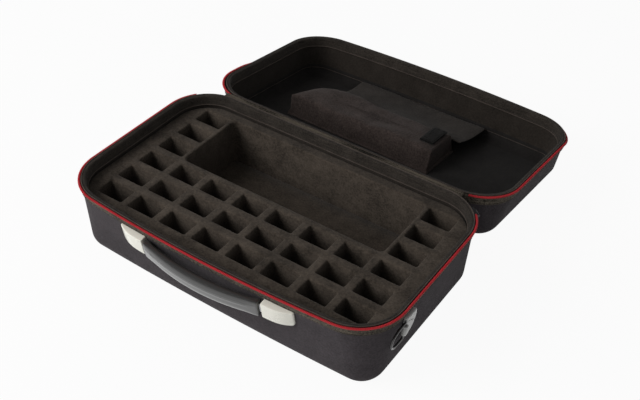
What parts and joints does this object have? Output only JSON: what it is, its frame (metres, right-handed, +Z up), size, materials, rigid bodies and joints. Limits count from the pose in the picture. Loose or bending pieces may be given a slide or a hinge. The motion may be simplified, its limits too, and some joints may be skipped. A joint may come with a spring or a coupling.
{
  "type": "mouth organ case",
  "caption": "Zippered moulded case for mouth organs, with a slotted foam insert, a fabric-hinged lid, a front grip and side rings.",
  "frame": {"origin": "middle of the base's flat underside, on the ground", "axes": "+X to the right seen from the handle, +Y from the handle to the hinge, +Z up"},
  "size_m": [0.383, 0.4875, 0.0898],
  "materials": {
    "shell_fabric": "dark charcoal woven fabric over moulded foam",
    "foam": "dark brown-grey closed-cell foam with a flocked face",
    "zip_coil": "red moulded zipper coil",
    "zip_tape": "black ribbed woven tape",
    "binding": "grey woven binding tape",
    "cap_plastic": "off-white gloss plastic",
    "mount_plastic": "light grey moulded plastic",
    "slider_metal": "black enamelled zinc",
    "pouch_fabric": "dark charcoal woven fabric",
    "hook_tape": "black hook tape",
    "grip_rubber": "satin black moulded grip",
    "core_steel": "spring steel strip",
    "ring_steel": "nickel-plated steel wire"
  },
  "bodies": {
    "case": {"base_shell": "shell_fabric", "base_zip_tape": "zip_tape", "base_binding": "binding", "base_zip_coil": "zip_coil", "foam_pad_floor": "foam", "foam_row_front": "foam", "foam_row_middle": "foam", "foam_row_back": "foam", "foam_cross_rail": "foam", "foam_back_rail": "foam", "foam_left_block": "foam", "foam_right_block": "foam", "hinge_tape_base": "zip_tape", "handle_cap_left": "cap_plastic", "handle_cap_right": "cap_plastic", "ring_mount_left": "mount_plastic", "ring_mount_right": "mount_plastic", "zip_slider_left": "slider_metal", "zip_slider_right": "slider_metal"},
    "lid": {"lid_shell": "shell_fabric", "lid_zip_tape": "zip_tape", "lid_binding": "binding", "lid_zip_coil": "zip_coil", "pouch_body": "pouch_fabric", "pouch_flap": "pouch_fabric", "pouch_hook_strip": "hook_tape", "hinge_tape_lid": "zip_tape"},
    "handle": {"handle_grip": "grip_rubber", "handle_core": "core_steel"},
    "ring_left": {"strap_ring_left": "ring_steel"},
    "ring_right": {"strap_ring_right": "ring_steel"},
    "pull_left": {"zip_pull_left": "slider_metal"},
    "pull_right": {"zip_pull_right": "slider_metal"}
  },
  "joints": [
    {"name": "lid_hinge", "type": "hinge", "parent": "case", "child": "lid", "pos_m": [0, 0.11668, 0.08643], "axis": [1, 0, 0], "range_deg": [0, 187.45]},
    {"name": "handle_slide", "type": "slide", "parent": "case", "child": "handle", "axis": [1, 0, 0], "range_m": [-0.003, 0.003]},
    {"name": "ring_left_swing", "type": "hinge", "parent": "case", "child": "ring_left", "pos_m": [-0.18816, -0.06, 0.05767], "axis": [0.099, 0, -0.9951], "range_deg": [0, 120]},
    {"name": "ring_right_swing", "type": "hinge", "parent": "case", "child": "ring_right", "pos_m": [0.18816, -0.06, 0.05767], "axis": [0.099, 0, 0.9951], "range_deg": [0, 120]},
    {"name": "pull_left_swing", "type": "hinge", "parent": "case", "child": "pull_left", "pos_m": [-0.1753, 0.10123, 0.0824], "axis": [0.7515, 0.6598, 0], "range_deg": [0, 150]},
    {"name": "pull_right_swing", "type": "hinge", "parent": "case", "child": "pull_right", "pos_m": [0.1753, 0.10123, 0.0824], "axis": [0.7515, -0.6598, 0], "range_deg": [0, 150]}
  ]
}
